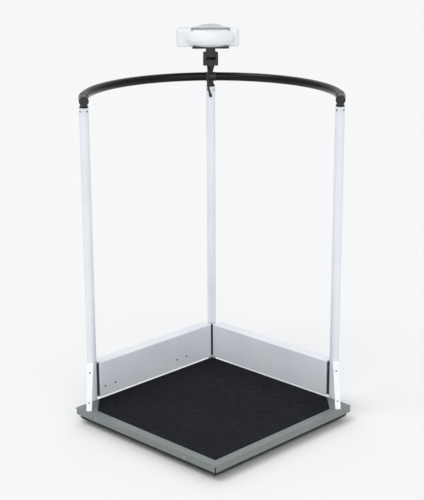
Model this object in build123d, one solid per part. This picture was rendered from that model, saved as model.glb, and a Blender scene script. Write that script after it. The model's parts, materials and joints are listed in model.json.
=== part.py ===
from build123d import *
from math import atan2, cos, degrees, hypot, pi, radians, sin, sqrt, tan
import os

# Electronic stand-on scale with a wrap-around handrail and a swivelling indicator.
#
# Millimetres, +Z up. The origin is on the floor under the centre of the square deck.
# The deck's sides run along X and Y, and a person steps on over its open (+X, -Y) corner.
#

# Platform
DECK_SIDE = 610.0
DECK_TOP = 50.0
SKIRT = 22.0
COVER_T = 1.5
CORNER_SLIT = 4.0
MAT_T = 2.0
MAT_FRONT_RIM = 29.0
MAT_BACK_RIM = 5.0
MAT_CORNER_CUT = 64.0
FRAME_INSET = 12.0
FRAME_BOTTOM = 12.0
FRAME_BAR = 30.0
GUSSET = 105.0
GUSSET_T = 4.0

# Load cells and levelling feet
CELL_L = 90.0
CELL_W = 22.0
CELL_BOTTOM = 22.0
CELL_T = 16.0
FOOT_POS = 243.0
STUD_R = 5.0
STUD_TOP = 36.0
PAD_R = 19.0
PAD_T = 7.0
NUT_R = 9.0
NUT_T = 5.0
RUN_GAP = 0.08

# Posts, side panels and knee braces
POST_OFFSET = 325.0
POST_R = 14.6
POST_WALL = 1.6
POST_TOP = 985.0
RAIL_R = 384.0
RAIL_Z = 1017.0
RAIL_TUBE_R = 13.75
RAIL_WALL = 2.0
RAIL_OVERRUN = 11.0
PANEL_GAP = 1.5
PANEL_BOTTOM = DECK_TOP + 3.0
PANEL_H = 116.0
PANEL_DEPTH = 40.0
PANEL_SHEET = 1.5
PANEL_POST_GAP = 3.6
PANEL_CORNER_GAP = 3.2
PANEL_SCREWS_Y = (-180.0, -137.0, 139.0, 183.0)
PANEL_SCREW_UP = 32.0
BRACE_RUN = 91.0
BRACE_RISE = 123.0
BRACE_START = 16.5
BRACE_TOP_W = 21.0
BRACE_FOOT_W = 16.0
BRACE_DEPTH = 13.0
BRACE_SHEET = 2.0
BRACE_OUTSET = 4.0

# Rail fittings
COLLAR_R = 14.5
COLLAR_HALF = 2.6
FLANGE_R = 13.7
NECK_R = 9.4
PLUG_DEPTH = 30.0
CAP_R = 14.8
FITTING_SCREW_DROP = 10.0

# Swivel mount, in the head frame
STEM_TOP = 1054.0
STEM_TOP_R = 12.5
STEM_FOOT_R = 7.5
PIVOT_R = 6.0
PIVOT_TOP = 1070.0
YOKE_W = 49.0
YOKE_D = 32.0
YOKE_TOP = 1097.0
YOKE_BASE_TOP = 1072.7
CHEEK_GAP = 31.6
YOKE_ROUND = 5.0
TILT_Z = 1085.5
BARREL_R = 12.5
NECK_W = 31.0
NECK_D = 25.0
BOLT_R = 4.0
HEAD_R = 6.4
HEAD_T = 3.6
LOCK_Z = 1063.0
LOCK_SHAFT_R = 3.0
LOCK_KNOB_R = 11.0
PLATE_BOTTOM = 1111.0
PLATE_T = 3.5
PLATE_W = 120.0
PLATE_D = 58.0

# Indicator case, in the head frame
CASE_LEFT = -111.0
CASE_RIGHT = 93.0
CASE_BACK = 60.0
CASE_FRONT = -14.0
CASE_WALL = 2.5
SPLIT_Z = 1140.0
WING_TOP = 1171.0
DOME_A = 84.0
DOME_B = 56.0
DOME_H = 49.0
LIP_DROP = 8.0
LIP_INSET = 7.0
LIP_T = 2.0
BOWL_A = 52.0
BOWL_B = 25.0
BOWL_TOP = 1126.0
FACE_Z = 1171.5
FACE_Y = -10.0
FACE_TILT = 5.0
FACE_W = 152.0
FACE_BACK = 32.0
FACE_FLOOR = 4.0
LENS_W = 125.0
LENS_D = 42.0
LENS_T = 2.0
LENS_FRONT = -14.0
LENS_SAG = 4.0
KEY_W = 14.0
KEY_D = 7.0
KEY_PITCH = 19.0
KEY_Y = -22.0
KEY_PROUD = 0.8
KEYS = 4
DOOR_W = 100.0
DOOR_H = 18.0
DOOR_AXIS_Z = 1120.5

# Lead from the mount to the back post, as a list of points in the head frame
LEAD_R = 3.5
LEAD_ROUTE = [
    (-6.5, -13.4, 1043.2),
    (-9.5, -28.0, 1031.0),
    (-10.0, -30.0, 1010.0),
    (-9.0, -29.0, 990.0),
    (-5.5, -25.0, 973.0),
    (-1.0, -14.5, 957.0),
]

HALF = DECK_SIDE / 2
COVER_BOTTOM = DECK_TOP - SKIRT
FRAME_TOP = DECK_TOP - COVER_T
FRAME_HALF = HALF - FRAME_INSET
GUSSET_BOTTOM = FRAME_TOP - GUSSET_T
CELL_TOP = CELL_BOTTOM + CELL_T
RAIL_SHIFT = POST_OFFSET - RAIL_R / sqrt(2)
END_POST = RAIL_R / sqrt(2) - RAIL_SHIFT
RAIL_CENTRE = (-RAIL_SHIFT, RAIL_SHIFT)
POSTS = {
    "left": (-POST_OFFSET, -END_POST),
    "back": (-POST_OFFSET, POST_OFFSET),
    "right": (END_POST, POST_OFFSET),
}
POST_ANGLE = {"left": 225.0, "back": 135.0, "right": 45.0}
CORNERS = {"left": (-1, -1), "front": (1, -1), "right": (1, 1), "back": (-1, 1)}
PANEL_FACE = HALF + PANEL_GAP
PANEL_TOP = PANEL_BOTTOM + PANEL_H
PANEL_START = -END_POST + POST_R + PANEL_POST_GAP
PANEL_END = PANEL_FACE - PANEL_CORNER_GAP

HEAD = Location((-POST_OFFSET, POST_OFFSET, 0), (0, 0, 45))
FACE = Location((0, FACE_Y, FACE_Z), (FACE_TILT, 0, 0))
# The right-hand pieces are the left-hand ones turned over the deck's diagonal.
DIAGONAL = Plane(origin=(0, 0, 0), z_dir=(1, 1, 0))


def block(x0, x1, y0, y1, z0, z1):
    """A box given by its limits."""
    centre = ((x0 + x1) / 2, (y0 + y1) / 2, (z0 + z1) / 2)
    return Pos(*centre) * Box(x1 - x0, y1 - y0, z1 - z0)


def rod(x, y, z0, z1, radius):
    """An upright cylinder given by its ends."""
    return Pos(x, y, (z0 + z1) / 2) * Cylinder(radius, z1 - z0)


def rod_between(start, end, radius):
    """A cylinder from one point to another."""
    line = Vector(*end) - Vector(*start)
    plane = Plane(origin=start, z_dir=line)
    return extrude(plane * Circle(radius), line.length)


def screw(at, out, head_r=3.4, head_t=2.0, shank_r=1.9, shank_l=6.0):
    """A round-headed screw whose head stands on the point at, facing out."""
    plane = Plane(origin=at, z_dir=out)
    crown = head_r * 0.55
    profile = Polyline((0, -shank_l), (shank_r, -shank_l), (shank_r, 0), (head_r, 0))
    top = Line((head_r, 0), (head_r, head_t * 0.4))
    dome = Line((head_r, head_t * 0.4), (crown, head_t))
    lid = Polyline((crown, head_t), (0, head_t), (0, -shank_l))
    outline = Plane.XZ * make_face(Curve() + [profile, top, dome, lid])
    return plane.location * revolve(outline, Axis.Z)


def screw_hole(at, out, radius=2.0, depth=8.0):
    """The clearance hole for a screw, through the wall behind the point at."""
    plane = Plane(origin=at, z_dir=out)
    return plane.location * Pos(0, 0, -depth / 2 + 0.5) * Cylinder(radius, depth + 1)


def group(items):
    """Several separate solids kept as one node."""
    return Compound(children=list(items))


def mirrored(shape):
    """A left-hand piece turned over the diagonal into the right-hand one."""
    return mirror(shape, DIAGONAL)


def torus_part(radius, start, sweep):
    """A length of round bar bent on the handrail's circle."""
    section = Plane.XZ * Pos(RAIL_R, RAIL_Z) * Circle(radius)
    bent = revolve(section, Axis.Z, sweep)
    return Pos(*RAIL_CENTRE, 0) * Rot(0, 0, start) * bent


def save(shape, name):
    export_step(shape, "parts/" + name + ".step")


# ---- Platform -------------------------------------------------------------
SKIRT_SCREWS = [(-232.0, -HALF), (-210.0, -HALF), (179.0, -HALF)]
SKIRT_SCREW_Z = COVER_BOTTOM + 11.0


def make_deck_cover():
    shell = block(-HALF, HALF, -HALF, HALF, COVER_BOTTOM, DECK_TOP)
    shell = fillet(shell.edges().group_by(Axis.Z)[-1], 2.2)
    inside = HALF - COVER_T
    shell -= block(-inside, inside, -inside, inside, COVER_BOTTOM - 1, DECK_TOP - COVER_T)
    for sx, sy in CORNERS.values():
        slit = Rot(0, 0, 45 * sx * sy) * Box(14, CORNER_SLIT, SKIRT - 5)
        shell -= Pos(sx * HALF, sy * HALF, COVER_BOTTOM + (SKIRT - 5) / 2 - 0.01) * slit
    for x, y in SKIRT_SCREWS:
        shell -= screw_hole((x, y, SKIRT_SCREW_Z), (0, -1, 0))
    for spot in brace_foot_screws():
        shell -= rod(spot[0], spot[1], DECK_TOP - 8, DECK_TOP + 1, 2.0)
    return shell


def brace_foot_screws():
    """Where the two braces' foot tabs are screwed to the deck."""
    x, y = POSTS["left"]
    reach = (BRACE_START + BRACE_RUN - 27) / sqrt(2)
    out = BRACE_OUTSET / sqrt(2)
    left = (x + reach - out, y - reach - out)
    return [left, (-left[1], -left[0])]


def make_deck_mat():
    back = HALF - MAT_BACK_RIM
    front = HALF - MAT_FRONT_RIM
    cut = MAT_CORNER_CUT
    outline = Polyline(
        (-back, back),
        (-back, -front + cut),
        (-back + cut, -front),
        (front, -front),
        (front, back - cut),
        (front - cut, back),
        close=True,
    )
    mat = extrude(Pos(0, 0, DECK_TOP) * make_face(outline), MAT_T)
    return chamfer(mat.edges().group_by(Axis.Z)[-1], 0.8)


def make_weigh_frame():
    inner = FRAME_HALF - FRAME_BAR
    bar = FRAME_BAR / 2
    frame = block(-FRAME_HALF, FRAME_HALF, -FRAME_HALF, FRAME_HALF, FRAME_BOTTOM, FRAME_TOP)
    frame -= block(-inner, inner, -inner, inner, FRAME_BOTTOM - 1, FRAME_TOP + 1)
    frame += block(-inner, inner, -bar, bar, FRAME_BOTTOM + 6, FRAME_TOP)
    frame += block(-bar, bar, -inner, inner, FRAME_BOTTOM + 6, FRAME_TOP)
    lip = FRAME_HALF + 3
    flange = block(-lip, lip, -lip, lip, FRAME_BOTTOM + 5, FRAME_BOTTOM + 8)
    frame += flange - block(-inner, inner, -inner, inner, FRAME_BOTTOM, FRAME_TOP)
    reach = inner - GUSSET
    for sx, sy in CORNERS.values():
        plate = block(reach, inner, reach, inner, GUSSET_BOTTOM, FRAME_TOP)
        heel = block(FOOT_POS - CELL_L + 11, FOOT_POS - CELL_L + 45, FOOT_POS - CELL_W / 2,
                     FOOT_POS + CELL_W / 2, CELL_TOP, GUSSET_BOTTOM)
        corner = plate + heel
        if sx < 0:
            corner = mirror(corner, Plane.YZ)
        if sy < 0:
            corner = mirror(corner, Plane.XZ)
        frame += corner
    for at in cell_screw_spots():
        frame -= rod(at[0], at[1], CELL_TOP - 1, CELL_TOP + 4, 2.05)
    return frame


def cell_screw_spots():
    """Two screws hold each load cell's heel up to the frame."""
    spots = []
    for sx, sy in CORNERS.values():
        for back in (20.0, 36.0):
            spots.append((sx * (FOOT_POS - CELL_L + back), sy * FOOT_POS))
    return spots


def make_load_cell(sx, sy):
    x_end = FOOT_POS + 11
    beam = block(x_end - CELL_L, x_end, FOOT_POS - CELL_W / 2, FOOT_POS + CELL_W / 2,
                 CELL_BOTTOM, CELL_TOP)
    middle = x_end - CELL_L / 2 + 6
    height = (CELL_BOTTOM + CELL_TOP) / 2
    for shift in (-6.5, 6.5):
        eye = Rot(90, 0, 0) * Cylinder(5.2, CELL_W + 2)
        beam -= Pos(middle + shift, FOOT_POS, height) * eye
    beam -= rod(FOOT_POS, FOOT_POS, CELL_BOTTOM - 1, CELL_TOP + 1, STUD_R + RUN_GAP)
    for back in (20.0, 36.0):
        beam -= rod(FOOT_POS - CELL_L + back, FOOT_POS, CELL_BOTTOM - 1, CELL_TOP + 1, 2.05)
    if sx < 0:
        beam = mirror(beam, Plane.YZ)
    if sy < 0:
        beam = mirror(beam, Plane.XZ)
    return beam


def make_foot_stud(sx, sy):
    x, y = sx * FOOT_POS, sy * FOOT_POS
    stud = rod(x, y, PAD_T, STUD_TOP, STUD_R)
    stud = chamfer(stud.edges().group_by(Axis.Z)[-1], 0.8)
    nut = extrude(Pos(x, y, PAD_T + 3) * RegularPolygon(NUT_R, 6), NUT_T)
    return stud + nut


def make_foot_pad(sx, sy):
    profile = Polyline((0, 0), (PAD_R, 0), (PAD_R, 3), (PAD_R - 7, PAD_T), (0, PAD_T), close=True)
    pad = revolve(Plane.XZ * make_face(profile), Axis.Z)
    return Pos(sx * FOOT_POS, sy * FOOT_POS, 0) * pad


BOX_X = -120.0
BOX_Y = 60.0


def make_junction_box():
    box = block(BOX_X - 45, BOX_X + 45, BOX_Y - 30, BOX_Y + 30, 22, FRAME_TOP)
    return box - block(BOX_X - 42, BOX_X + 42, BOX_Y - 27, BOX_Y + 27, 21, FRAME_TOP - 3)


def make_junction_lid():
    lid = block(BOX_X - 45, BOX_X + 45, BOX_Y - 30, BOX_Y + 30, 19, 22)
    return chamfer(lid.edges().group_by(Axis.Z)[0], 1.0)


def make_sum_board():
    return block(BOX_X - 38, BOX_X + 38, BOX_Y - 23, BOX_Y + 23, 30, 31.6)


# ---- Panels, posts and braces ----------------------------------------------
def make_left_panel():
    """A folded tray that stands on edge, its flanges turned away from the deck."""
    outer = -PANEL_FACE - PANEL_DEPTH
    t = PANEL_SHEET
    tray = block(outer, -PANEL_FACE, PANEL_START, PANEL_END, PANEL_BOTTOM, PANEL_TOP)
    front = tray.faces().sort_by(Axis.X)[-1]
    tray = fillet(front.edges(), 2.4)
    hollow = block(outer - 1, -PANEL_FACE - t, PANEL_START + t, PANEL_END - t,
                   PANEL_BOTTOM + t, PANEL_TOP - t)
    return tray - hollow


def drill_left_panel(panel):
    for y in PANEL_SCREWS_Y:
        panel -= screw_hole((-PANEL_FACE, y, PANEL_BOTTOM + PANEL_SCREW_UP), (1, 0, 0))
    return panel


def make_panel_screws():
    z = PANEL_BOTTOM + PANEL_SCREW_UP
    return group(screw((-PANEL_FACE, y, z), (1, 0, 0), 3.0, 1.8) for y in PANEL_SCREWS_Y)


def make_panel_brackets():
    """Angles behind the left panel that its screws pull up."""
    z = PANEL_BOTTOM + PANEL_SCREW_UP
    face = -PANEL_FACE - PANEL_SHEET
    angles = []
    for y in (sum(PANEL_SCREWS_Y[:2]) / 2, sum(PANEL_SCREWS_Y[2:]) / 2):
        pad = block(face - 4, face, y - 32, y + 32, z - 10, z + 10)
        shelf = block(face - 30, face, y - 32, y + 32, z - 13, z - 10)
        for hole_y in PANEL_SCREWS_Y:
            pad -= screw_hole((face, hole_y, z), (1, 0, 0), 1.95, 7)
        angles.append(pad + shelf)
    return group(angles)


def make_end_spacer():
    """The black block that fills the gap between the left post and its panel."""
    x, y = POSTS["left"]
    depth = PANEL_DEPTH - 8
    spacer = block(x - depth / 2, x + depth / 2 - 4, y, PANEL_START, PANEL_BOTTOM + 2, PANEL_TOP - 4)
    return spacer - rod(x, y, PANEL_BOTTOM, PANEL_TOP, POST_R)


def make_corner_spacer():
    """The black corner post that the two panels close on."""
    x, y = POSTS["back"]
    low = -PANEL_FACE - 16
    spacer = block(low, -PANEL_FACE - 3, PANEL_END, -low, PANEL_BOTTOM + 2, PANEL_TOP - 4)
    spacer += block(low, -PANEL_END, PANEL_FACE + 3, -low, PANEL_BOTTOM + 2, PANEL_TOP - 4)
    return spacer - rod(x, y, PANEL_BOTTOM, PANEL_TOP, POST_R)


def fitting_screw_axes(name):
    """Each post top is pinned by a screw on its +X side and one on its -Y side."""
    x, y = POSTS[name]
    z = POST_TOP - FITTING_SCREW_DROP
    return [((x + POST_R, y, z), (1, 0, 0)), ((x, y - POST_R, z), (0, -1, 0))]


def brace_screw_axis(name):
    """The brace's upper screw: where it enters, and the way it faces."""
    angle = atan2(BRACE_RUN, BRACE_RISE)
    run = BRACE_START + BRACE_RUN * 0.20
    z = DECK_TOP + BRACE_RISE * 0.80
    return brace_point(name, run, z), brace_out(name, angle)


def brace_point(name, run, z):
    x, y = POSTS[name]
    side = -1 if name == "left" else 1
    shift = side * BRACE_OUTSET / sqrt(2)
    return (x + run / sqrt(2) + shift, y - run / sqrt(2) + shift, z)


def brace_out(name, angle):
    return (cos(angle) / sqrt(2), -cos(angle) / sqrt(2), sin(angle))


def make_post(name):
    x, y = POSTS[name]
    tube = rod(x, y, FRAME_BOTTOM, POST_TOP, POST_R)
    tube -= rod(x, y, FRAME_BOTTOM - 1, POST_TOP + 1, POST_R - POST_WALL)
    for at, out in fitting_screw_axes(name):
        tube -= screw_hole(at, out, 1.95, 6)
    if name == "back":
        tube -= lead_entry()
    return tube


def make_post_foot(name):
    """The steel arm under the frame that a post stands on."""
    x, y = POSTS[name]
    reach = FRAME_HALF - FRAME_BAR + 1
    low = FRAME_BOTTOM - 5
    if name == "left":
        arm = block(x - 22, -reach, y - 25, y + 25, low, FRAME_BOTTOM)
    elif name == "right":
        arm = block(x - 25, x + 25, reach, y + 22, low, FRAME_BOTTOM)
    else:
        arm = block(x - 22, -reach, reach, y + 22, low, FRAME_BOTTOM)
    arm = fillet(arm.edges().filter_by(Axis.Z), 8)
    return arm + rod(x, y, FRAME_BOTTOM, FRAME_BOTTOM + 25, POST_R - POST_WALL - 0.1)


def make_left_brace():
    """A tapered folded channel from the post down to the deck."""
    x, y = POSTS["left"]
    run = BRACE_RUN
    angle = degrees(atan2(BRACE_RISE, run))
    length = hypot(run, BRACE_RISE)
    start = BRACE_START + run
    # The outline lies in the brace's face: its origin at the foot, its Y up the slope.
    outline = Polyline((-BRACE_FOOT_W / 2, -20), (BRACE_FOOT_W / 2, -20), (BRACE_TOP_W / 2, length + 2),
                       (-BRACE_TOP_W / 2, length + 2), close=True)
    body = extrude(make_face(outline), -BRACE_DEPTH)
    body = fillet(body.faces().sort_by(Axis.Z)[-1].edges().sort_by(Axis.Y)[1:3], 1.6)
    t = BRACE_SHEET
    inner = Polyline((-BRACE_FOOT_W / 2 + t, -25), (BRACE_FOOT_W / 2 - t, -25),
                     (BRACE_TOP_W / 2 - t, length + 5), (-BRACE_TOP_W / 2 + t, length + 5), close=True)
    body -= Pos(0, 0, -t) * extrude(make_face(inner), -BRACE_DEPTH)
    # In its own frame the brace rises towards +Y, then it is stood up and turned.
    body = Pos(0, -start, DECK_TOP) * Rot(angle, 0, 0) * body
    body = Pos(x, y, 0) * Rot(0, 0, 45) * Pos(-BRACE_OUTSET, 0, 0) * body
    body -= block(x - 200, x + 200, y - 200, y + 200, -200, DECK_TOP)
    body -= rod(x, y, 0, POST_TOP, POST_R)
    at, out = brace_screw_axis("left")
    body -= screw_hole(at, out, 2.0, 4)
    low, _ = brace_low_screw("left")
    return body - screw_hole(low, out, 2.0, 4)


def brace_low_screw(name):
    angle = atan2(BRACE_RUN, BRACE_RISE)
    run = BRACE_START + BRACE_RUN * 0.83
    return brace_point(name, run, DECK_TOP + BRACE_RISE * 0.17), brace_out(name, angle)


def make_brace_screws():
    screws = []
    for name in ("left", "right"):
        for at, out in (brace_screw_axis(name), brace_low_screw(name)):
            screws.append(screw(at, out, 3.0, 1.6, 1.9, 5.0))
    return group(screws)


# ---- Handrail ----------------------------------------------------------------
def rail_sweep():
    start = POST_ANGLE["right"] - RAIL_OVERRUN
    return start, POST_ANGLE["left"] + RAIL_OVERRUN - start


def make_handrail():
    start, sweep = rail_sweep()
    return torus_part(RAIL_TUBE_R, start, sweep) - torus_part(RAIL_TUBE_R - RAIL_WALL, start, sweep)


def make_rail_cap(name):
    """A domed plug that closes an end of the rail."""
    start, sweep = rail_sweep()
    angle = start if name == "right" else start + sweep
    sense = -1 if name == "right" else 1
    a = radians(angle)
    end = (RAIL_CENTRE[0] + RAIL_R * cos(a), RAIL_CENTRE[1] + RAIL_R * sin(a), RAIL_Z)
    plane = Plane(origin=end, z_dir=(-sense * sin(a), sense * cos(a), 0))
    spigot = RAIL_TUBE_R - RAIL_WALL - 0.3
    cap = Pos(0, 0, 2) * Cylinder(CAP_R, 4)
    cap = fillet(cap.edges().group_by(Axis.Z)[-1], 2.6)
    cap += Pos(0, 0, -4) * Cylinder(spigot, 8)
    return plane.location * cap


def make_rail_fitting(name):
    """Plug, flange and neck on the post, with a collar round the rail."""
    x, y = POSTS[name]
    profile = Polyline((0, POST_TOP), (FLANGE_R, POST_TOP), (FLANGE_R, POST_TOP + 2.5),
                       (NECK_R, POST_TOP + 10), (NECK_R, RAIL_Z - 8), (0, RAIL_Z - 8), close=True)
    body = Pos(x, y, 0) * revolve(Plane.XZ * make_face(profile), Axis.Z)
    body += rod(x, y, POST_TOP - PLUG_DEPTH, POST_TOP, POST_R - POST_WALL - 0.1)
    start = POST_ANGLE[name] - COLLAR_HALF
    body += torus_part(COLLAR_R, start, 2 * COLLAR_HALF)
    body -= torus_part(RAIL_TUBE_R + 0.05, start - 2, 2 * COLLAR_HALF + 4)
    for at, out in fitting_screw_axes(name):
        body -= screw_hole(at, out, 1.95, 8)
    if name == "back":
        body -= lead_entry()
    return body


def make_fitting_screws():
    screws = []
    for name in POSTS:
        for at, out in fitting_screw_axes(name):
            screws.append(screw(at, out, 2.6, 1.5, 1.85, 5.0))
    return group(screws)


# ---- Swivel mount ---------------------------------------------------------------
def make_mount_stem():
    """The fixed stem on the back fitting."""
    profile = Polyline((0, RAIL_Z + 8), (STEM_FOOT_R, RAIL_Z + 8), (STEM_FOOT_R, RAIL_Z + 17),
                       (STEM_TOP_R, STEM_TOP - 4), (STEM_TOP_R, STEM_TOP), (0, STEM_TOP), close=True)
    stem = HEAD * revolve(Plane.XZ * make_face(profile), Axis.Z)
    return stem - torus_part(COLLAR_R, POST_ANGLE["back"] - 6, 12)


def make_pivot_pin():
    """The pin on the stem that the yoke turns on."""
    pin = rod(0, 0, STEM_TOP, PIVOT_TOP, PIVOT_R)
    return HEAD * chamfer(pin.edges().group_by(Axis.Z)[-1], 0.6)


def make_yoke():
    yoke = block(-YOKE_W / 2, YOKE_W / 2, -YOKE_D / 2, YOKE_D / 2, STEM_TOP + 0.3, YOKE_TOP)
    yoke = fillet(yoke.edges().filter_by(Axis.Z), 5)
    tops = yoke.edges().filter_by(Axis.X).sort_by(Axis.Z)[-2:]
    yoke = fillet(tops, YOKE_ROUND)
    half = CHEEK_GAP / 2
    yoke -= block(-half, half, -YOKE_D, YOKE_D, YOKE_BASE_TOP, YOKE_TOP + 1)
    yoke -= rod(0, 0, STEM_TOP, PIVOT_TOP + 0.5, PIVOT_R + RUN_GAP)
    yoke -= rod_between((-YOKE_W, 0, TILT_Z), (YOKE_W, 0, TILT_Z), BOLT_R + RUN_GAP)
    for side in (-1, 1):
        inner = side * (YOKE_W / 2 - HEAD_T - 0.1)
        yoke -= rod_between((inner, 0, TILT_Z), (side * YOKE_W, 0, TILT_Z), HEAD_R + 0.2)
    yoke -= rod_between((0, 0, LOCK_Z), (0, YOKE_D, LOCK_Z), LOCK_SHAFT_R + RUN_GAP)
    return HEAD * yoke


def make_tilt_bolt():
    inner = YOKE_W / 2 - HEAD_T
    shank = rod_between((-inner, 0, TILT_Z), (inner, 0, TILT_Z), BOLT_R)
    head = rod_between((-inner, 0, TILT_Z), (-YOKE_W / 2, 0, TILT_Z), HEAD_R)
    head = chamfer(head.edges().group_by(Axis.X)[0], 0.8)
    socket = Plane(origin=(-YOKE_W / 2 + 2, 0, TILT_Z), z_dir=(-1, 0, 0)) * RegularPolygon(3, 6)
    return HEAD * (shank + head - extrude(socket, 5))


def make_tilt_nut():
    inner = YOKE_W / 2 - HEAD_T
    plane = Plane(origin=(inner, 0, TILT_Z), z_dir=(1, 0, 0))
    return HEAD * extrude(plane * RegularPolygon(HEAD_R, 6), HEAD_T - 0.4)


def make_lock_knob():
    """A lobed hand knob whose screw presses on the pivot pin."""
    start = (0, PIVOT_R + 0.3, LOCK_Z)
    face = YOKE_D / 2 + 1.5
    knob = rod_between(start, (0, face, LOCK_Z), LOCK_SHAFT_R)
    plane = Plane(origin=(0, face, LOCK_Z), z_dir=(0, 1, 0))
    disc = extrude(plane * Circle(LOCK_KNOB_R), 10)
    for i in range(6):
        a = radians(60 * i + 30)
        at = (1.32 * LOCK_KNOB_R * cos(a), face - 1, LOCK_Z + 1.32 * LOCK_KNOB_R * sin(a))
        disc -= rod_between(at, (at[0], face + 12, at[2]), 5)
    disc = chamfer(disc.faces().sort_by(Axis.Y)[-1].edges(), 0.8)
    return HEAD * (knob + disc)


def make_tilt_knuckle():
    half = NECK_W / 2
    barrel = rod_between((-half, 0, TILT_Z), (half, 0, TILT_Z), BARREL_R)
    neck = block(-half, half, -NECK_D / 2, NECK_D / 2, TILT_Z, PLATE_BOTTOM)
    knuckle = barrel + neck
    knuckle -= rod_between((-YOKE_W, 0, TILT_Z), (YOKE_W, 0, TILT_Z), BOLT_R + RUN_GAP)
    return HEAD * knuckle


PLATE_SCREWS = [(-45.0, -18.0), (45.0, -18.0), (-45.0, 18.0), (45.0, 18.0)]


def make_mounting_plate():
    plate = block(-PLATE_W / 2, PLATE_W / 2, -PLATE_D / 2, PLATE_D / 2, PLATE_BOTTOM,
                  PLATE_BOTTOM + PLATE_T)
    plate = fillet(plate.edges().filter_by(Axis.Z), 8)
    for x, y in PLATE_SCREWS:
        plate -= rod(x, y, PLATE_BOTTOM - 1, PLATE_BOTTOM + PLATE_T + 1, 2.0)
    return HEAD * plate


def make_plate_screws():
    z = PLATE_BOTTOM
    return HEAD * group(screw((x, y, z), (0, 0, -1), 3.6, 2.0, 1.9, 9.0) for x, y in PLATE_SCREWS)


# ---- Indicator ---------------------------------------------------------------------
CASE_BOTTOM = PLATE_BOTTOM + PLATE_T
FLOOR_Z = CASE_BOTTOM + CASE_WALL


def ellipse_block(a, b, z0, z1):
    return extrude(Pos(0, 0, z0) * Ellipse(a, b), z1 - z0)


def dome(wall):
    """The upper half of an ellipsoid on the split between the cases, shrunk by a wall."""
    a, b, h = DOME_A - wall, DOME_B - wall, DOME_H - wall
    ball = Pos(0, 0, SPLIT_Z) * scale(Sphere(a), (1, b / a, h / a))
    return ball & block(-a, a, -b, b, SPLIT_Z, SPLIT_Z + h + 1)


def under_lip(lift=0.0):
    """Everything under the sloping line where the dome's lip ends, in front of the wings."""
    tilt = Location((0, CASE_FRONT, SPLIT_Z + lift), (LIP_DROP, 0, 0))
    return tilt * block(-200, 200, -100, 0, -60, 0)


def lip_ring(a, b, lift=0.0):
    """The part of an elliptical post between the dome's lip and the split."""
    post = ellipse_block(a, b, SPLIT_Z - 12, SPLIT_Z) & block(-200, 200, -100, CASE_FRONT, 1000, 1200)
    return post - under_lip(lift)


def face_tool(grow):
    """Everything above the sloped display face, out to its hooded back."""
    half = FACE_W / 2 + grow
    low = -grow
    return FACE * block(-half, half, -90, FACE_BACK + grow, low, 60)


def wing_block(z0, z1, shrink=0.0, corner=14.0):
    """The case's straight-sided part between two heights."""
    wings = block(CASE_LEFT + shrink, CASE_RIGHT - shrink, CASE_FRONT + shrink, CASE_BACK - shrink, z0, z1)
    return fillet(wings.edges().filter_by(Axis.Z), corner - shrink)


def make_case_lower():
    wings = wing_block(CASE_BOTTOM, SPLIT_Z)
    wings = fillet(wings.faces().sort_by(Axis.Z)[0].edges(), 6)
    t = CASE_WALL
    a, b = DOME_A - LIP_INSET, DOME_B - LIP_INSET
    case = wings + bowl(0) - bowl(t) - wing_block(FLOOR_Z, SPLIT_Z + 1, t)
    case -= ellipse_block(a - t, b - t, SPLIT_Z - 1, SPLIT_Z + 1)
    for x, y in PLATE_SCREWS:
        case -= rod(x, y, CASE_BOTTOM - 1, CASE_BOTTOM + 8, 2.0)
    gap = 0.3
    doorway = block(-DOOR_W / 2 - gap, DOOR_W / 2 + gap, CASE_BACK - 4, CASE_BACK + 1,
                    DOOR_AXIS_Z - 1.25 - gap, DOOR_AXIS_Z - 1.25 + DOOR_H + gap)
    case -= doorway
    pin = DOOR_W / 2 + 2
    axis_y = CASE_BACK - 1.25
    case -= rod_between((-pin, axis_y, DOOR_AXIS_Z), (pin, axis_y, DOOR_AXIS_Z), 0.88)
    return HEAD * case


def bowl(wall):
    """The rounded belly under the dome, up to the dome's lip."""
    a, b = DOME_A - LIP_INSET - wall, DOME_B - LIP_INSET - wall
    base = CASE_BOTTOM + wall
    belly = loft([Pos(0, 0, base) * Ellipse(BOWL_A - wall, BOWL_B - wall), Pos(0, 0, BOWL_TOP) * Ellipse(a, b)])
    front = block(-200, 200, -100, CASE_FRONT, 1000, SPLIT_Z + 1)
    rim = ellipse_block(a, b, BOWL_TOP, SPLIT_Z)
    return belly + (rim - front) + (rim & front & under_lip())


def make_battery_door():
    """A flap with stub pins, hinged along its bottom edge."""
    axis_y = CASE_BACK - 1.25
    top = DOOR_AXIS_Z - 1.25 + DOOR_H
    leaf = block(-DOOR_W / 2, DOOR_W / 2, CASE_BACK - 2.5, CASE_BACK, DOOR_AXIS_Z, top)
    leaf += rod_between((-DOOR_W / 2, axis_y, DOOR_AXIS_Z), (DOOR_W / 2, axis_y, DOOR_AXIS_Z), 1.25)
    pin = DOOR_W / 2 + 1.6
    leaf += rod_between((-pin, axis_y, DOOR_AXIS_Z), (pin, axis_y, DOOR_AXIS_Z), 0.8)
    leaf += block(-9, 9, CASE_BACK - 2.5, CASE_BACK + 1.6, top - 3.2, top - 1.4)
    return HEAD * leaf


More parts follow.
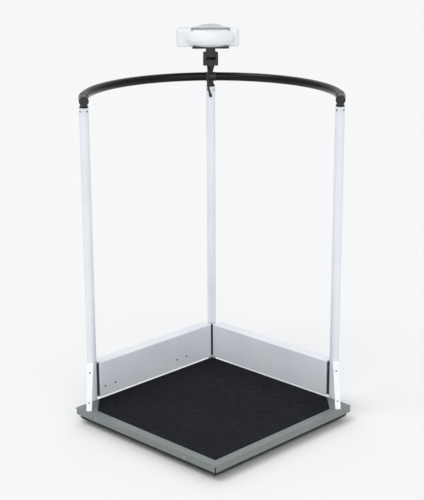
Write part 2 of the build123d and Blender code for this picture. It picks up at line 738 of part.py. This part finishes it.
def make_case_upper():
    wings = wing_block(SPLIT_Z, WING_TOP)
    wings = fillet(wings.faces().sort_by(Axis.Z)[-1].edges(), 9)
    outside = wings + dome(0) + lip_ring(DOME_A, DOME_B)
    t = CASE_WALL
    hollow = wing_block(SPLIT_Z - 1, WING_TOP - t, t)
    hollow = fillet(hollow.faces().sort_by(Axis.Z)[-1].edges(), 7)
    hollow += dome(t)
    hollow += lip_ring(DOME_A - t, DOME_B - t, LIP_T)
    inner = t + LIP_INSET
    hollow += lip_ring(DOME_A - inner, DOME_B - inner, -1)
    case = outside - face_tool(0) - (hollow - face_tool(FACE_FLOOR))
    case -= FACE * lens_outline(0.2, 5, -LENS_T)
    case -= FACE * block(-52, 52, -8, 26, -FACE_FLOOR - 2, 1)
    for x in key_places():
        case -= FACE * extrude(Pos(x, KEY_Y, -FACE_FLOOR - 2) * key_outline(0.3), FACE_FLOOR + 4)
    return HEAD * case


def lens_outline(grow, top, low):
    """The window's shape: a rounded bar whose front edge is hollowed."""
    half = LENS_W / 2 + grow
    bar = block(-half, half, LENS_FRONT - grow, LENS_FRONT + LENS_D + grow, low, top)
    bar = fillet(bar.edges().filter_by(Axis.Z), 4)
    deep = LENS_SAG - grow
    radius = (half ** 2 + deep ** 2) / (2 * deep)
    return bar - rod(0, LENS_FRONT - grow + deep - radius, low - 1, top + 1, radius)


def key_places():
    return [KEY_PITCH * (i - (KEYS - 1) / 2) for i in range(KEYS)]


def key_outline(grow):
    return RectangleRounded(KEY_W + 2 * grow, KEY_D + 2 * grow, 3.2 + grow)


def make_key(x):
    """A key cap with a stem through the face and a keeper rim below it."""
    stem = extrude(Pos(x, KEY_Y, -FACE_FLOOR - 1) * key_outline(0), FACE_FLOOR + 1 + KEY_PROUD)
    stem = fillet(stem.edges().group_by(Axis.Z)[-1], 0.7)
    rim = extrude(Pos(x, KEY_Y, -FACE_FLOOR - 1.4) * key_outline(0.9), 1.0)
    return HEAD * (FACE * (stem + rim))


def make_display_window():
    return HEAD * (FACE * lens_outline(0, 0, -LENS_T))


def make_display_panel():
    return HEAD * (FACE * block(-54, 54, -10, 28, -FACE_FLOOR - 4, -FACE_FLOOR - 0.1))


def make_circuit_board():
    low, high = -FACE_FLOOR - 6.4, -FACE_FLOOR - 4.8
    board = block(-54, 54, -8, 30, low, high) + block(-38, 38, -27, -8, low, high)
    return HEAD * (FACE * board)


def make_battery_pack():
    pack = block(-45, 45, 28, 55, FLOOR_Z + 0.5, FLOOR_Z + 19)
    return HEAD * fillet(pack.edges().filter_by(Axis.X), 6)


# ---- Lead -----------------------------------------------------------------------------
def lead_path():
    """Straight runs joined by arcs, each as large as its two runs allow."""
    points = [Vector(*p) for p in LEAD_ROUTE]
    radii = []
    for before, here, after in zip(points, points[1:], points[2:]):
        run_in, run_out = here - before, after - here
        turn = radians(run_in.get_angle(run_out))
        radii.append(0.45 * min(run_in.length, run_out.length) / tan(turn / 2))
    print("lead radii", [round(r, 1) for r in radii])
    return FilletPolyline(*points, radius=radii)


def end_direction():
    return (Vector(*LEAD_ROUTE[-1]) - Vector(*LEAD_ROUTE[-2])).normalized()


def lead_entry():
    """The slanting hole in the back post for the lead."""
    way = end_direction()
    at = Vector(*LEAD_ROUTE[-1])
    return HEAD * rod_between(tuple(at - way * 12), tuple(at + way * 12), LEAD_R + 0.3)


def make_lead():
    path = lead_path()
    start = Plane(origin=LEAD_ROUTE[0], z_dir=path % 0)
    tube = sweep(start * Circle(LEAD_R), path)
    print("lead length", round(path.length, 1), "volume ratio",
          round(tube.volume / (pi * LEAD_R ** 2 * path.length), 4))
    return HEAD * tube


def make_lead_gland(stem):
    """The boot on the stem that the lead comes out of."""
    start = Vector(*LEAD_ROUTE[0])
    way = (Vector(*LEAD_ROUTE[1]) - start).normalized()
    boot = rod_between(tuple(start - way * 10), tuple(start), LEAD_R + 2)
    return HEAD * boot - stem


def make_lead_grommet(lead):
    """The rubber ring in the back post that the lead goes into."""
    way = end_direction()
    at = Vector(*LEAD_ROUTE[-1])
    ring = rod_between(tuple(at - way * 5), tuple(at + way * 4), LEAD_R + 1.4)
    x, y = POSTS["back"]
    ring = HEAD * ring - rod(x, y, 0, POST_TOP, POST_R)
    return ring - lead


def main():
    os.makedirs("parts", exist_ok=True)
    save(make_deck_cover(), "deck_cover")
    save(make_deck_mat(), "deck_mat")
    save(make_weigh_frame(), "weigh_frame")
    save(group(screw((x, -HALF, SKIRT_SCREW_Z), (0, -1, 0)) for x, _ in SKIRT_SCREWS), "skirt_screws")
    cell_screws = [screw((x, y, CELL_BOTTOM), (0, 0, -1), 3.6, 2.4, 1.95, CELL_T + 3)
                   for x, y in cell_screw_spots()]
    save(group(cell_screws), "load_cell_screws")
    save(group(make_load_cell(sx, sy) for sx, sy in CORNERS.values()), "load_cells")
    for name, (sx, sy) in CORNERS.items():
        save(make_foot_stud(sx, sy), "foot_stud_" + name)
        save(make_foot_pad(sx, sy), "foot_pad_" + name)
    save(make_junction_box(), "junction_box")
    save(make_junction_lid(), "junction_box_lid")
    save(make_sum_board(), "summing_board")
    panel = make_left_panel()
    save(drill_left_panel(panel), "left_panel")
    save(mirrored(panel), "right_panel")
    save(make_panel_screws(), "panel_screws")
    save(make_panel_brackets(), "panel_brackets")
    spacer = make_end_spacer()
    save(group([spacer, mirrored(spacer)]), "panel_end_spacers")
    save(make_corner_spacer(), "panel_corner_spacer")
    brace = make_left_brace()
    save(brace, "left_knee_brace")
    save(mirrored(brace), "right_knee_brace")
    save(make_brace_screws(), "brace_screws")
    for name in POSTS:
        save(make_post(name), name + "_post")
        save(make_post_foot(name), name + "_post_foot")
        save(make_rail_fitting(name), name + "_rail_fitting")
    save(make_fitting_screws(), "fitting_screws")
    save(make_handrail(), "handrail")
    save(group(make_rail_cap(name) for name in ("left", "right")), "rail_end_caps")
    stem = make_mount_stem()
    save(group([stem, make_pivot_pin()]), "mount_stem")
    save(make_yoke(), "swivel_yoke")
    save(make_tilt_bolt(), "tilt_bolt")
    save(make_tilt_nut(), "tilt_nut")
    save(make_lock_knob(), "swivel_lock_knob")
    save(make_tilt_knuckle(), "tilt_knuckle")
    save(make_mounting_plate(), "mounting_plate")
    save(make_plate_screws(), "plate_screws")
    save(make_case_lower(), "case_lower")
    save(make_case_upper(), "case_upper")
    save(make_battery_door(), "battery_door")
    save(make_battery_pack(), "battery_pack")
    save(make_display_window(), "display_window")
    save(make_display_panel(), "display_panel")
    save(make_circuit_board(), "circuit_board")
    for i, x in enumerate(key_places()):
        save(make_key(x), "key_" + str(i + 1))
    lead = make_lead()
    save(lead, "lead")
    save(make_lead_gland(stem), "lead_gland")
    save(make_lead_grommet(lead), "lead_grommet")


if __name__ == "__main__":
    main()
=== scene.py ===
"""Looks of the handrail platform scale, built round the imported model.

Metres, +Z up. The lead's route is given in the head frame: its origin is on the back post's axis
at floor height, its -Y faces the user, and its +X runs along the scale's (1, 1, 0).
"""
import json
import math

import bpy
from mathutils import Matrix, Vector


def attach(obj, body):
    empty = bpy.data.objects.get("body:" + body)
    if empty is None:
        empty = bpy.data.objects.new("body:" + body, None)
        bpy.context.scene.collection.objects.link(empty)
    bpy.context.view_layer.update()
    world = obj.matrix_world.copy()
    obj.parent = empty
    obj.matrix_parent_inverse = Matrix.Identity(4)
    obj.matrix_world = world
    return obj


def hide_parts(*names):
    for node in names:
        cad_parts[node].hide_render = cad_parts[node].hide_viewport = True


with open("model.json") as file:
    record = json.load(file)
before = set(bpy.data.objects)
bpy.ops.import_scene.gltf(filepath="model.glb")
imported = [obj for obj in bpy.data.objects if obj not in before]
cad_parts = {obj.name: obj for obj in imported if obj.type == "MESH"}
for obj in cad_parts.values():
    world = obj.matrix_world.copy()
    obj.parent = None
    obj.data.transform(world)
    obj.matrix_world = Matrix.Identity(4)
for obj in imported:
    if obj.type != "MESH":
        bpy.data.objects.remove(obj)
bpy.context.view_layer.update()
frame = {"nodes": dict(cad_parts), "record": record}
nodes = frame["nodes"]

POST = 0.325
MICRON = 1e-6
SHADE_SPREAD = (0.35, 0.65)
GLOSS_SPREAD = (0.3, 0.7)

HEAD = Matrix.Translation((-POST, POST, 0)) @ Matrix.Rotation(math.radians(45), 4, "Z")


# ---- Materials -----------------------------------------------------------------
class Graph:
    """A Principled material whose colour, roughness and bump come from procedural textures."""

    def __init__(self, name, metallic=0.0, coat=0.0, coat_rough=0.1, specular=0.5):
        self.material = bpy.data.materials.new(name)
        self.material.use_nodes = True
        self.tree = self.material.node_tree
        self.shader = self.tree.nodes["Principled BSDF"]
        self.shader.inputs["Metallic"].default_value = metallic
        self.shader.inputs["Coat Weight"].default_value = coat
        self.shader.inputs["Coat Roughness"].default_value = coat_rough
        self.shader.inputs["Specular IOR Level"].default_value = specular
        self.place = self.add("ShaderNodeTexCoord").outputs["Object"]
        self.normal = None

    def add(self, kind, **settings):
        node = self.tree.nodes.new(kind)
        for key, value in settings.items():
            if hasattr(node, key):
                setattr(node, key, value)
            else:
                node.inputs[key.replace("_", " ").title()].default_value = value
        return node

    def link(self, out, socket):
        self.tree.links.new(out, socket)

    def stretched(self, scale):
        mapping = self.add("ShaderNodeMapping")
        mapping.inputs["Scale"].default_value = scale
        self.link(self.place, mapping.inputs["Vector"])
        return mapping.outputs["Vector"]

    def noise(self, scale, detail=3.0, roughness=0.55, stretch=(1, 1, 1)):
        node = self.add("ShaderNodeTexNoise", scale=scale, detail=detail, roughness=roughness)
        self.link(self.stretched(stretch), node.inputs["Vector"])
        return node.outputs["Fac"]

    def cells(self, scale):
        node = self.add("ShaderNodeTexVoronoi", scale=scale)
        node.feature = "SMOOTH_F1"
        self.link(self.place, node.inputs["Vector"])
        return node.outputs["Distance"]

    def remap(self, value, low, high, to_low, to_high):
        node = self.add("ShaderNodeMapRange")
        for i, number in enumerate((low, high, to_low, to_high), 1):
            node.inputs[i].default_value = number
        self.link(value, node.inputs["Value"])
        return node.outputs["Result"]

    def shade(self, noise):
        """The noise's usual range stretched to run from 0 to 1."""
        return self.remap(noise, *SHADE_SPREAD, 0.0, 1.0)

    def math(self, kind, a, b=None):
        node = self.add("ShaderNodeMath")
        node.operation = kind
        for socket, value in zip(node.inputs, (a, b)):
            if isinstance(value, (int, float)):
                socket.default_value = value
            elif value is not None:
                self.link(value, socket)
        return node.outputs[0]

    def axis(self, index):
        node = self.add("ShaderNodeSeparateXYZ")
        self.link(self.place, node.inputs[0])
        return node.outputs[index]

    def mix(self, share, a, b):
        """Colour a where share is 0 and colour b where it is 1."""
        node = self.add("ShaderNodeMix")
        node.data_type = "RGBA"
        self.link(share, node.inputs["Factor"])
        for socket, value in ((node.inputs[6], a), (node.inputs[7], b)):
            if isinstance(value, (tuple, list)):
                socket.default_value = (*value[:3], 1)
            else:
                self.link(value, socket)
        return node.outputs[2]

    def colour(self, value):
        self.link(value, self.shader.inputs["Base Color"])

    def rough(self, value):
        self.link(value, self.shader.inputs["Roughness"])

    def gloss(self, noise, rough):
        """Roughness that follows a noise between the two values in rough."""
        self.rough(self.remap(noise, *GLOSS_SPREAD, *rough))

    def bump(self, height, microns):
        """Relief of so many microns, laid over any relief already there."""
        node = self.add("ShaderNodeBump")
        node.inputs["Strength"].default_value = 1.0
        node.inputs["Distance"].default_value = microns * MICRON
        self.link(height, node.inputs["Height"])
        if self.normal is not None:
            self.link(self.normal, node.inputs["Normal"])
        self.normal = node.outputs["Normal"]
        self.link(self.normal, self.shader.inputs["Normal"])


def make_mottled(name, dark, light, rough, scale=14.0, grain=900.0, microns=40, **shader):
    """An even finish with slow variation of colour and gloss and a fine grain."""
    g = Graph(name, **shader)
    g.colour(g.mix(g.shade(g.noise(scale, 4.0)), dark, light))
    g.gloss(g.noise(scale * 3, 3.0), rough)
    g.bump(g.noise(grain, 2.0), microns)
    return g.material


def make_case(name, dark, light, rough):
    """Moulded plastic: broader shade changes and a finer grain."""
    return make_mottled(name, dark, light, rough, scale=10.0, grain=1500.0)


def make_window(name, dark, light, rough):
    """Dark clear plastic under a glossy coat."""
    return make_mottled(name, dark, light, rough, 12.0, 60.0, 10, coat=1.0, coat_rough=0.03)


def make_plated(name, dark, light, rough=(0.28, 0.42)):
    """Bare or plated metal."""
    return make_mottled(name, dark, light, rough, 60.0, 700.0, 20, metallic=1.0)


def make_powder(name, dark, light, rough=(0.34, 0.44)):
    """Powder coat: orange peel over slow shade changes, with faint scuffs."""
    g = Graph(name, coat=0.15, coat_rough=0.25)
    clean = g.mix(g.shade(g.noise(6.0, 4.0)), dark, light)
    scuff = g.remap(g.noise(55.0, 6.0, 0.7, (1, 1, 0.15)), 0.66, 0.74, 0.0, 0.35)
    g.colour(g.mix(scuff, clean, tuple(0.82 * c for c in dark)))
    g.gloss(g.noise(30.0, 3.0), rough)
    g.bump(g.noise(420.0, 2.0), 60)
    g.bump(g.noise(1600.0, 1.0), 20)
    return g.material


def make_brushed(name, dark, light, rough):
    """Brushed sheet whose grain runs along the nearest side of the deck."""
    g = Graph(name, metallic=0.55, specular=0.3)
    along_x = g.noise(1.0, 5.0, 0.7, (3, 900, 900))
    along_y = g.noise(1.0, 5.0, 0.7, (900, 3, 900))
    x = g.math("ABSOLUTE", g.axis(0))
    y = g.math("ABSOLUTE", g.axis(1))
    pick = g.add("ShaderNodeMix")
    g.link(g.math("GREATER_THAN", x, y), pick.inputs["Factor"])
    g.link(along_x, pick.inputs[2])
    g.link(along_y, pick.inputs[3])
    grain = pick.outputs[0]
    plain = g.mix(g.remap(grain, 0.3, 0.7, 0.0, 1.0), dark, light)
    smear = g.remap(g.noise(7.0, 4.0), 0.35, 0.7, 0.0, 0.35)
    g.colour(g.mix(smear, plain, tuple(0.7 * (a + b) / 2 for a, b in zip(dark, light))))
    g.gloss(grain, rough)
    g.bump(grain, 30)
    return g.material


def make_mat(name, dark, light, fleck_colour, rough):
    """Moulded rubber: fine pebbles, with pale flecks and slow changes of shade."""
    g = Graph(name, specular=0.06)
    pebble = g.cells(950.0)
    patch = g.remap(g.noise(5.0, 5.0, 0.6), 0.35, 0.7, 0.0, 1.0)
    fleck = g.remap(g.noise(700.0, 2.0), 0.55, 0.75, 0.0, 0.5)
    g.colour(g.mix(fleck, g.mix(patch, dark, light), fleck_colour))
    g.gloss(g.noise(40.0, 4.0), rough)
    g.bump(pebble, 250)
    g.bump(g.noise(140.0, 3.0), 80)
    return g.material


def make_gloss(name, dark, light, rough=(0.20, 0.30)):
    """Smooth coating on tube: long wavy highlights and a few soft handling marks."""
    g = Graph(name, coat=0.08, coat_rough=0.12, specular=0.16)
    g.colour(g.mix(g.shade(g.noise(9.0, 3.0)), dark, light))
    g.rough(g.remap(g.noise(26.0, 6.0, 0.65), 0.35, 0.75, *rough))
    g.bump(g.noise(120.0, 2.0), 40)
    return g.material


# Each slot's maker, its darker and lighter colour, and its range of roughness.
FINISHES = {
    "deck_steel": (make_brushed, (0.19, 0.215, 0.21), (0.30, 0.33, 0.325), (0.42, 0.56)),
    "mat_rubber": (make_mat, (0.0065, 0.0070, 0.0090), (0.0095, 0.0105, 0.0135),
                   (0.018, 0.020, 0.025), (0.56, 0.72)),
    "frame_black": (make_mottled, (0.012, 0.013, 0.015), (0.022, 0.024, 0.028), (0.42, 0.56)),
    "cell_aluminium": (make_plated, (0.55, 0.56, 0.58), (0.72, 0.73, 0.75)),
    "zinc_steel": (make_plated, (0.32, 0.33, 0.35), (0.52, 0.53, 0.55)),
    "dark_screws": (make_plated, (0.05, 0.05, 0.06), (0.10, 0.10, 0.11)),
    "foot_rubber": (make_mottled, (0.012, 0.012, 0.012), (0.026, 0.026, 0.026), (0.6, 0.8)),
    "white_powder": (make_powder, (0.74, 0.77, 0.82), (0.80, 0.83, 0.87)),
    # brace_white is the white powder coat made lighter and less blue: painted light for the
    # brace's upward-facing lit face
    "brace_white": (make_powder, (0.84, 0.86, 0.88), (0.88, 0.90, 0.92)),
    "spacer_black": (make_mottled, (0.020, 0.020, 0.026), (0.034, 0.034, 0.042), (0.5, 0.65)),
    "fitting_black": (make_mottled, (0.006, 0.008, 0.010), (0.014, 0.016, 0.018), (0.30, 0.45)),
    "rail_black": (make_gloss, (0.004, 0.003, 0.004), (0.008, 0.006, 0.008)),
    "mount_black": (make_mottled, (0.008, 0.008, 0.012), (0.016, 0.015, 0.020), (0.28, 0.42)),
    "knob_black": (make_mottled, (0.010, 0.010, 0.012), (0.020, 0.020, 0.022), (0.35, 0.5)),
    "lead_black": (make_mottled, (0.008, 0.008, 0.009), (0.016, 0.016, 0.018), (0.34, 0.48)),
    "grommet_rubber": (make_mottled, (0.010, 0.010, 0.011), (0.020, 0.020, 0.021), (0.5, 0.65)),
    "case_white": (make_case, (0.76, 0.79, 0.81), (0.82, 0.84, 0.86), (0.38, 0.5)),
    "window_black": (make_window, (0.020, 0.022, 0.034), (0.034, 0.037, 0.052), (0.05, 0.10)),
    "display_grey": (make_mottled, (0.28, 0.32, 0.26), (0.34, 0.38, 0.31), (0.3, 0.4)),
    "board_green": (make_mottled, (0.02, 0.12, 0.05), (0.03, 0.18, 0.08), (0.35, 0.5)),
    "key_grey": (make_mottled, (0.56, 0.60, 0.66), (0.64, 0.68, 0.72), (0.45, 0.6)),
    "battery_wrap": (make_mottled, (0.04, 0.10, 0.30), (0.06, 0.14, 0.40), (0.3, 0.45)),
}
MATERIALS = {slot: make(slot, *values) for slot, (make, *values) in FINISHES.items()}
SLOTS = {part["node"]: part["material_slot"] for part in frame["record"]["subparts"]}


def wear(obj, slot):
    obj.data.materials.clear()
    obj.data.materials.append(MATERIALS[slot])
    return obj


for name, node in nodes.items():
    wear(node, SLOTS[name])


# ---- Lead ------------------------------------------------------------------------
LEAD_D = 0.007
LEAD_ROUTE = [
    (-0.0065, -0.0134, 1.0432),
    (-0.0095, -0.0280, 1.0310),
    (-0.0100, -0.0300, 1.0100),
    (-0.0090, -0.0290, 0.9900),
    (-0.0055, -0.0250, 0.9730),
    (-0.0010, -0.0145, 0.9570),
]


def make_lead():
    curve = bpy.data.curves.new("lead_cord", "CURVE")
    curve.dimensions = "3D"
    curve.resolution_u = 12
    curve.bevel_depth = LEAD_D / 2
    curve.bevel_resolution = 6
    curve.use_fill_caps = True
    line = curve.splines.new("NURBS")
    line.points.add(len(LEAD_ROUTE) - 1)
    for point, place in zip(line.points, LEAD_ROUTE):
        point.co = (*(HEAD @ Vector(place)), 1)
    line.order_u = 3
    line.use_endpoint_u = True
    obj = bpy.data.objects.new("lead_cord", curve)
    bpy.context.collection.objects.link(obj)
    wear(obj, "lead_black")
    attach(obj, "root")
    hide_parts("lead")


make_lead()


# ---- Floor, light and camera -------------------------------------------------------
FLOOR_SIZE = 80
FLOOR_SHADES = ((0.885, 0.885, 0.885), (0.895, 0.895, 0.895))
SKY_COLOUR = (0.97, 0.98, 1.0, 1)
SKY_STRENGTH = 0.62
# Each sun's name, energy, direction and spread in degrees.
SUNS = [
    ("key", 0.85, (0.25, 0.55, -1.3), 30),
    ("back", 0.42, (0.45, -0.45, -0.7), 50),
    ("front", 1.15, (-1.0, 0.7, -0.3), 70),
]
CAMERA_PLACE = (2.691, -2.751, 1.692)
CAMERA_LENS = 95.3
CAMERA_TURN = 44.41
CAMERA_DIP = 16.38
CAMERA_ROLL = -0.24


def make_floor():
    bpy.ops.mesh.primitive_plane_add(size=FLOOR_SIZE)
    floor = bpy.context.object
    floor.name = "floor"
    g = Graph("floor_pale", specular=0.1)
    g.colour(g.mix(g.noise(0.4, 2.0), *FLOOR_SHADES))
    g.shader.inputs["Roughness"].default_value = 0.9
    floor.data.materials.append(g.material)


def make_world():
    world = bpy.data.worlds.new("studio")
    world.use_nodes = True
    background = world.node_tree.nodes["Background"]
    background.inputs["Color"].default_value = SKY_COLOUR
    background.inputs["Strength"].default_value = SKY_STRENGTH
    bpy.context.scene.world = world


def add_sun(name, energy, direction, spread):
    light = bpy.data.lights.new(name, "SUN")
    light.energy = energy
    light.angle = math.radians(spread)
    obj = bpy.data.objects.new(name, light)
    obj.rotation_euler = Vector(direction).to_track_quat("-Z", "Y").to_euler()
    bpy.context.collection.objects.link(obj)


def make_camera():
    camera = bpy.data.cameras.new("camera")
    camera.lens = CAMERA_LENS
    camera.sensor_width = 36
    camera.clip_end = 200
    obj = bpy.data.objects.new("camera", camera)
    turn = Matrix.Rotation(math.radians(CAMERA_TURN), 3, "Z")
    nod = Matrix.Rotation(math.radians(90 - CAMERA_DIP), 3, "X")
    roll = Matrix.Rotation(math.radians(CAMERA_ROLL), 3, "Z")
    obj.location = CAMERA_PLACE
    obj.rotation_euler = (turn @ nod @ roll).to_euler()
    bpy.context.collection.objects.link(obj)
    bpy.context.scene.camera = obj


make_floor()
make_world()
for sun in SUNS:
    add_sun(*sun)
make_camera()
bpy.context.scene.view_settings.view_transform = "Standard"
